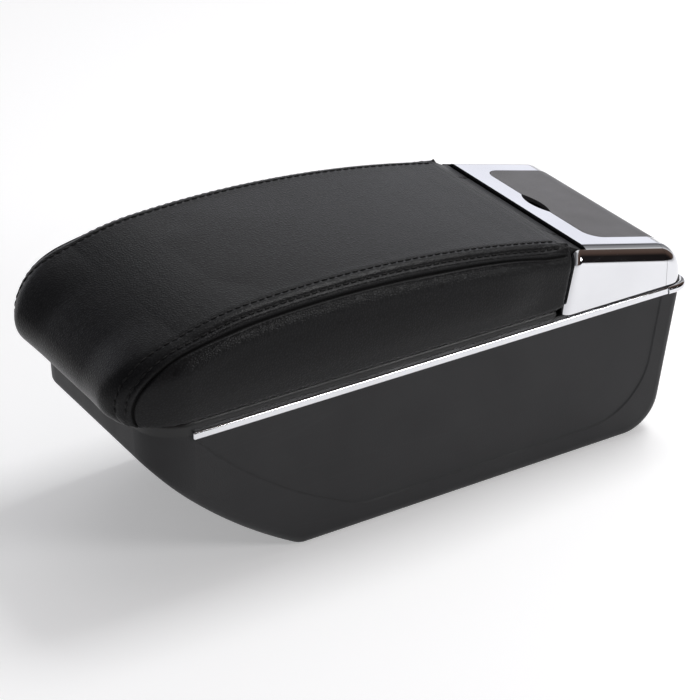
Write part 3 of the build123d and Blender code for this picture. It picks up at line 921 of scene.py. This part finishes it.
@dataclass
class Stitching:
    """Thread of both rows along both edges."""

    edge: SewnEdge
    pitch: float = 4.8 * MM
    length: float = 3.7 * MM
    width: float = 1.15 * MM
    thickness: float = 1.15 * MM / 1.1
    lift: float = 0.25 * MM
    station_step: float = 1 * MM
    sky: float = 200 * MM
    nose_centre: Vector = field(default_factory=lambda: Vector((-150 * MM, 0, PAD_FOOT + 15.5 * MM)))
    nose_radius: float = 30 * MM
    nose_reach: float = 90 * MM
    nose_degrees: range = range(90, 197)
    nose_tries: int = 3

    def sewn(self, cover: bpy.types.Object) -> bpy.types.Object:
        """Sews both rows along both edges.

        Args:
            cover: Finished cover that the thread lies on.

        Returns:
            The stitches' object.
        """
        leather = bmesh.new()
        leather.from_mesh(cover.data)
        tree = BVHTree.FromBMesh(leather)
        leather.free()
        thread = bmesh.new()
        for side in Side:
            for row in (self.edge.top_row, self.edge.low_row):
                self.sew(thread, self.over_top(tree, row, side) + self.down_nose(tree, row, side))
        return settle("stitching", thread, THREAD)

    def over_top(self, tree: BVHTree, row: SeamLine, side: Side) -> list[tuple[Vector, Vector]]:
        """Points on the leather along one row, from the hinge to the nose.

        Args:
            tree: Search tree of the cover.
            row: Row to follow.
            side: Edge that the row is on.

        Returns:
            Points with the leather's normals.
        """
        found = []
        station = self.edge.row_end
        while station > self.nose_centre.x:
            above = Vector((station, side.value * row.at(station, self.sky), self.sky))
            spot, normal, _, _ = tree.ray_cast(above, Vector((0, 0, -1)))
            found.append((spot, normal))
            station -= self.station_step
        return found

    def down_nose(self, tree: BVHTree, row: SeamLine, side: Side) -> list[tuple[Vector, Vector]]:
        """Points on the leather along one row, from the top of the nose to under it.

        Args:
            tree: Search tree of the cover.
            row: Row to follow.
            side: Edge that the row is on.

        Returns:
            Points with the leather's normals.
        """
        found = []
        centre = self.nose_centre
        for degree in self.nose_degrees:
            turn = math.radians(degree)
            out = Vector((math.cos(turn), 0, math.sin(turn)))
            height = centre.z + self.nose_radius * out.z
            for _ in range(self.nose_tries):
                across = side.value * row.at(centre.x, height)
                start = Vector((centre.x, across, centre.z)) + out * self.nose_reach
                spot, normal, _, _ = tree.ray_cast(start, -out)
                if spot is None:
                    break
                height = spot.z
            if spot is not None and spot.z > self.edge.seam_foot:
                found.append((spot, normal))
        return found

    def sew(self, thread: bmesh.types.BMesh, path: list[tuple[Vector, Vector]]) -> None:
        """Lays stitches at an even pitch along a path.

        Args:
            thread: Mesh that the stitches are added to.
            path: Points with normals that the row follows.
        """
        size = Matrix.Diagonal((self.length / 2, self.width / 2, self.thickness / 2, 1.0))
        upright = Matrix.Rotation(math.pi / 2, 4, "Y")
        gone = 0.0
        due = self.pitch / 2
        for (a, normal), (b, _) in zip(path, path[1:]):
            step = (b - a).length
            while step > 0 and due <= gone + step:
                spot = a.lerp(b, (due - gone) / step)
                along = (b - a).normalized()
                beside = normal.cross(along).normalized()
                up = along.cross(beside)
                turn = Matrix((along, beside, up)).transposed().to_4x4()
                lie = Matrix.Translation(spot + up * self.lift) @ turn @ size @ upright
                bmesh.ops.create_uvsphere(thread, u_segments=6, v_segments=5, radius=1.0, matrix=lie)
                due += self.pitch
            gone += step


@dataclass
class PaddedLid:
    """Lid with its foam, leather cover, seams and stitching."""

    form: SoftForm = SoftForm()
    edge: SewnEdge = SewnEdge()
    weld: float = 0.002 * MM
    inner_gap: float = 0.4 * MM
    voxel: float = 2.8 * MM
    start_inset: float = 0.3 * MM
    swell_cap: float = 1.2 * MM
    swell_dip: float = -0.1 * MM
    swell_frames: int = 20
    pressure: float = 4.0
    pinned_foot: float = PAD_FOOT + 3.5 * MM
    foot_lead: float = 3 * MM
    foot_fade: float = 9 * MM
    pinned_rear: float = 84 * MM
    rear_lead: float = 10 * MM
    rear_fade: float = 22 * MM
    seam_hold: float = 0.85
    seam_reach: float = 2.2 * MM
    smooth_passes: int = 30
    smooth_foot: float = PAD_FOOT + 24 * MM
    smooth_side: float = 60 * MM
    smooth_rear: float = 78 * MM
    fine_bands: tuple[float, ...] = (6.5 * MM, 4.6 * MM)
    hem_low: Vector = field(default_factory=lambda: Vector((-173.05 * MM, -63 * MM, PAD_FOOT - 3.5 * MM)))
    hem_high: Vector = field(default_factory=lambda: Vector((81.12 * MM, 63 * MM, PAD_FOOT + 2.7 * MM)))
    hem_radius: float = 14 * MM

    def build(self) -> None:
        """Builds the cover and its stitching, and dresses the rigid pieces of the lid."""
        skin = self.outer_skin()
        tree = BVHTree.FromBMesh(skin)
        cover = self.remeshed(skin, tree)
        self.swell(cover)
        self.draw_smooth(cover)
        self.refine(cover)
        self.reseat(cover, tree)
        self.carve(cover)
        self.open_hem(cover)
        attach(cover, Body.LID.value)
        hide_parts("leather_cover", "foam_pad")
        LOG.info("cover: %d faces", len(cover.data.polygons))
        rows = Stitching(self.edge).sewn(cover)
        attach(rows, Body.LID.value)
        LOG.info("stitching: %d faces", len(rows.data.polygons))
        dress("lid_base", TRAY_PLASTIC)
        dress("lid_liner", LINER_PLASTIC)
        dress("liner_screws", STEEL)

    def outer_skin(self) -> bmesh.types.BMesh:
        """Outer faces of the CAD cover, closed over the hem and the pin holes.

        Returns:
            The closed skin.
        """
        core = bmesh.new()
        for node in ("foam_pad", "lid_base"):
            core.from_mesh(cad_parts[node].data)
        filling = BVHTree.FromBMesh(core)
        core.free()
        skin = bmesh.new()
        skin.from_mesh(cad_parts["leather_cover"].data)
        bmesh.ops.remove_doubles(skin, verts=skin.verts, dist=self.weld)
        inner = [f for f in skin.faces if filling.find_nearest(f.calc_center_median())[3] < self.inner_gap]
        bmesh.ops.delete(skin, geom=inner, context="FACES")
        rims = [e for e in skin.edges if e.is_boundary]
        bmesh.ops.holes_fill(skin, edges=rims, sides=0)
        bmesh.ops.triangulate(skin, faces=[f for f in skin.faces if len(f.verts) > 4])
        return skin

    def remeshed(self, skin: bmesh.types.BMesh, tree: BVHTree) -> bpy.types.Object:
        """Even quads over the skin, drawn in a little so that the swell brings them back.

        Args:
            skin: Closed outer skin, which is freed.
            tree: Search tree of the skin.

        Returns:
            The cover's object.
        """
        cover = settle("padded_cover", skin, LEATHER)
        remesh = cover.modifiers.new("even_quads", "REMESH")
        remesh.mode = "VOXEL"
        remesh.voxel_size = self.voxel
        bake(cover)
        with reshaping(cover) as mesh:
            for vert in mesh.verts:
                spot, normal, _, _ = tree.find_nearest(vert.co)
                vert.co = spot - normal * self.start_inset * self.slack(spot)
            smooth(mesh, list(mesh.verts), factor=0.3, passes=2)
        return cover

    def slack(self, spot: Vector) -> float:
        """How free the cover is to move at a point.

        Args:
            spot: Point on the cover.

        Returns:
            0 at the hem and the hinge, 1 on the panels.
        """
        foot = min(1.0, max(0.0, (spot.z - self.pinned_foot + self.foot_lead) / self.foot_fade))
        rear = min(1.0, max(0.0, (self.pinned_rear + self.rear_lead - spot.x) / self.rear_fade))
        return foot * rear

    def swell(self, cover: bpy.types.Object) -> None:
        """Blows the cover up over its foam, held at hem, hinge and seam.

        Args:
            cover: Cover whose mesh takes the swollen shape.
        """
        start = [v.co.copy() for v in cover.data.vertices]
        pins = cover.vertex_groups.new(name="sewn")
        for vert in cover.data.vertices:
            off_seam = abs(abs(vert.co.y) - self.edge.crease.at(vert.co.x, vert.co.z))
            hold = max(1.0 - self.slack(vert.co), self.seam_hold if off_seam < self.seam_reach else 0.0)
            pins.add([vert.index], hold, "REPLACE")
        cloth = cover.modifiers.new("swell", "CLOTH")
        cloth.settings.vertex_group_mass = pins.name
        cloth.settings.use_pressure = True
        cloth.settings.uniform_pressure_force = self.pressure
        cloth.settings.effector_weights.gravity = 0.0
        cloth.settings.quality = 5
        cloth.settings.mass = 0.35
        cloth.settings.tension_stiffness = 30.0
        cloth.settings.compression_stiffness = 30.0
        cloth.settings.bending_stiffness = 1.5
        cloth.collision_settings.use_collision = False
        for step in range(1, self.swell_frames + 1):
            bpy.context.scene.frame_set(step)
        bake(cover)
        bpy.context.scene.frame_set(1)
        for vert, first in zip(cover.data.vertices, start):
            move = vert.co - first
            if move.length > self.swell_cap:
                vert.co = first + move * (self.swell_cap / move.length)
        cover.vertex_groups.clear()

    def draw_smooth(self, cover: bpy.types.Object) -> None:
        """Draws slack folds out of the top panel.

        Args:
            cover: Cover to draw smooth.
        """
        with reshaping(cover) as mesh:
            top = [
                v
                for v in mesh.verts
                if v.co.z > self.smooth_foot and abs(v.co.y) < self.smooth_side and v.co.x < self.smooth_rear
            ]
            smooth(mesh, top, factor=0.5, passes=self.smooth_passes)

    def refine(self, cover: bpy.types.Object) -> None:
        """Rounds the cover by one subdivision, and adds edges along the seams.

        Args:
            cover: Cover to refine.
        """
        round_off = cover.modifiers.new("round_off", "SUBSURF")
        round_off.levels = 1
        round_off.render_levels = 1
        bake(cover)
        with reshaping(cover) as mesh:
            for reach in self.fine_bands:
                band = [e for e in mesh.edges if all(self.edge.beside(v.co, reach) for v in e.verts)]
                bmesh.ops.subdivide_edges(mesh, edges=band, cuts=1, use_grid_fill=True, smooth=0.0)

    def reseat(self, cover: bpy.types.Object, tree: BVHTree) -> None:
        """Draws the cover back onto its form where it is held, and fills out its sides, nose and rear roll.

        Args:
            cover: Cover to seat.
            tree: Search tree of the form it was made over.
        """
        low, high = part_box("lid_hinge_pins")
        axle = (low + high) / 2
        with reshaping(cover) as mesh:
            seats = []
            for vert in mesh.verts:
                spot, normal, _, _ = tree.find_nearest(vert.co)
                rise = (vert.co - spot).dot(normal)
                held = min(self.swell_cap, max(self.swell_dip, rise)) * self.slack(spot)
                seat = vert.co + vert.normal * (held + self.form.fullness(spot) - rise)
                seats.append(self.form.squared(self.form.rolled(seat, axle)))
            for vert, seat in zip(mesh.verts, seats):
                vert.co = seat

    def carve(self, cover: bpy.types.Object) -> None:
        """Presses rows, seam and rear folds into the cover, and stores their painted shade.

        Args:
            cover: Cover to press.
        """
        with reshaping(cover) as mesh:
            shade = mesh.verts.layers.float.new("painted_seam_shade")
            moves = []
            for vert in mesh.verts:
                depth, vert[shade] = self.edge.relief(vert.co)
                moves.append(vert.normal * depth)
            for vert, move in zip(mesh.verts, moves):
                vert.co += move
            for face in mesh.faces:
                face.smooth = True

    def open_hem(self, cover: bpy.types.Object) -> None:
        """Cuts the cover's underside away inside its turned-in hem, where the liner sits.

        Args:
            cover: Cover to cut.
        """
        block = bmesh.new()
        size = self.hem_high - self.hem_low
        place = Matrix.Translation((self.hem_high + self.hem_low) / 2) @ Matrix.Diagonal((*size, 1.0))
        bmesh.ops.create_cube(block, size=1.0, matrix=place)
        upright = [e for e in block.edges if abs(e.verts[0].co.z - e.verts[1].co.z) > size.z / 2]
        bmesh.ops.bevel(
            block, geom=upright, offset=self.hem_radius, segments=8, profile=0.5, affect="EDGES", material=-1
        )
        cutter = settle("hem_cutter", block, LEATHER)
        cut = cover.modifiers.new("hem", "BOOLEAN")
        cut.operation = "DIFFERENCE"
        cut.solver = "EXACT"
        cut.object = cutter
        bake(cover)
        bpy.data.objects.remove(cutter)


@dataclass
class RigidGroup:
    """Sub-assembly of rigid CAD nodes, which only take a finish."""

    finishes: tuple[tuple[str, Finish], ...]

    def build(self) -> None:
        """Dresses the pieces of the group."""
        for node, finish in self.finishes:
            dress(node, finish)


@dataclass
class StorageBox(RigidGroup):
    """Moulded box with its collar, chrome strips and rubber stops."""

    finishes: tuple[tuple[str, Finish], ...] = (
        ("storage_box", BOX_PLASTIC),
        ("rim_frame", COLLAR_PLASTIC),
        ("side_trim_left", CHROME),
        ("side_trim_right", CHROME),
        ("rear_trim", CHROME),
        ("rim_screws", STEEL),
        ("lid_buffers", RUBBER),
    )


@dataclass
class AshtrayModule(RigidGroup):
    """Chrome module with its flip lid and lift-out cup."""

    finishes: tuple[tuple[str, Finish], ...] = (
        ("ashtray_surround", CHROME),
        ("rear_cap", CHROME),
        ("ashtray_lid", FLIP_PLASTIC),
        ("ash_cup", CUP_PLASTIC),
        ("ashtray_lid_rod", STEEL),
        ("lid_hinge_pins", STEEL),
        ("surround_screws", STEEL),
        ("rear_cap_screws", STEEL),
    )


@dataclass(frozen=True)
class Softbox:
    """A soft studio light."""

    name: str
    place: tuple[float, float, float]
    size: tuple[float, float]
    power: float

    def hang(self, target: Vector) -> None:
        """Hangs the light in the scene.

        Args:
            target: Point that it faces.
        """
        lamp = bpy.data.lights.new(self.name, "AREA")
        lamp.shape = "RECTANGLE"
        lamp.size, lamp.size_y = self.size
        lamp.energy = self.power
        holder = bpy.data.objects.new(self.name, lamp)
        holder.location = self.place
        holder.rotation_euler = (target - Vector(self.place)).to_track_quat("-Z", "Y").to_euler()
        bpy.context.scene.collection.objects.link(holder)


@dataclass
class Studio:
    """Pale floor, soft lights and the camera."""

    azimuth: float = -32.0
    elevation: float = 28.7
    distance: float = 1437.6 * MM
    lens: float = 128.96
    target: Vector = field(default_factory=lambda: Vector((-3.15 * MM, 0, 71.5 * MM)))
    floor_size: float = 5.0
    floor_drop: float = 0.1 * MM
    lights: tuple[Softbox, ...] = (
        Softbox("overhead_softbox", (0.25, 0.35, 1.5), (1.6, 1.6), 4.0),
        Softbox("rear_softbox", (1.0, 1.6, 1.15), (1.6, 0.7), 3.2),
        Softbox("shoulder_softbox", (0.60, 0.10, 1.35), (0.5, 0.5), 9.0),
        Softbox("front_softbox", (0.85, -1.40, 0.80), (0.5, 0.4), 8.5),
    )
    front_right: Direction = (0.6, -0.8, 0.0)
    wall_tones: tuple[tuple[float, Colour], ...] = (
        (-0.10, (0.15, 0.15, 0.16)),
        (-0.02, (0.03, 0.03, 0.032)),
        (0.06, (0.20, 0.20, 0.21)),
        (0.34, (0.42, 0.42, 0.43)),
        (0.40, (0.95, 0.95, 0.95)),
        (0.46, (0.12, 0.085, 0.07)),
        (0.72, (0.085, 0.055, 0.044)),
        (0.86, (0.012, 0.010, 0.010)),
    )
    band_tone: Colour = (1.06, 1.07, 1.15)
    band_heights: tuple[float, float] = (0.20, 0.31)
    band_end: tuple[float, float] = (-0.05, 0.02)
    left: Direction = (-0.96, -0.28, 0.0)
    left_fade: tuple[float, float] = (-0.1, 0.4)
    left_share: float = 0.05

    def build(self) -> None:
        """Sets up floor, lights, surroundings and camera."""
        self.floor()
        self.surroundings()
        for light in self.lights:
            light.hang(self.target)
        self.camera()

    def floor(self) -> None:
        """Lays the floor under the box."""
        sheet = bmesh.new()
        bmesh.ops.create_grid(sheet, x_segments=1, y_segments=1, size=self.floor_size)
        bmesh.ops.translate(sheet, verts=sheet.verts, vec=(0, 0, CAD_BOX[0][2] - self.floor_drop))
        settle("floor", sheet, FLOOR)

    def surroundings(self) -> None:
        """Makes the room: a light band low down behind, walls toned toward front right, darkest there."""
        scene = bpy.context.scene
        scene.world = bpy.data.worlds.new("studio")
        scene.world.use_nodes = True
        w = Wiring(scene.world.node_tree)
        w.tree.nodes.clear()
        way = w.add("ShaderNodeTexCoord").outputs["Generated"]
        height = w.add("ShaderNodeSeparateXYZ", {0: way}).outputs["Z"]
        toward = w.dot(way, self.front_right)
        wall = w.ramp(toward, self.wall_tones)
        low = w.spread(height, *self.band_heights, 1.0, 0.0)
        behind = w.spread(toward, *self.band_end, 1.0, 0.0)
        dimmed = w.spread(w.dot(way, self.left), *self.left_fade, 1.0, self.left_share)
        band = w.sum("MULTIPLY", w.sum("MULTIPLY", low, behind), dimmed)
        colour = w.tint(band, wall, rgba(self.band_tone))
        glow = w.add("ShaderNodeBackground", {"Color": colour, "Strength": 1.0})
        w.add("ShaderNodeOutputWorld", {"Surface": glow.outputs["Background"]})
        scene.view_settings.view_transform = "Standard"

    def camera(self) -> None:
        """Places the camera at the photograph's angle."""
        turn, rise = math.radians(self.azimuth), math.radians(self.elevation)
        back = Vector((math.sin(turn) * math.cos(rise), -math.cos(turn) * math.cos(rise), math.sin(rise)))
        lens = bpy.data.cameras.new("camera")
        lens.lens = self.lens
        lens.sensor_width = 36.0
        lens.sensor_fit = "HORIZONTAL"
        holder = bpy.data.objects.new("camera", lens)
        holder.location = self.target + back * self.distance
        holder.rotation_euler = (-back).to_track_quat("-Z", "Y").to_euler()
        bpy.context.scene.collection.objects.link(holder)
        bpy.context.scene.camera = holder


def main() -> None:
    """Builds and dresses every sub-assembly, then sets the stage."""
    logging.basicConfig(level=logging.INFO, format="%(message)s")
    for part in (PaddedLid(), StorageBox(), AshtrayModule(), Studio()):
        LOG.info("building %s", type(part).__name__)
        part.build()


if __name__ == "__main__":
    main()
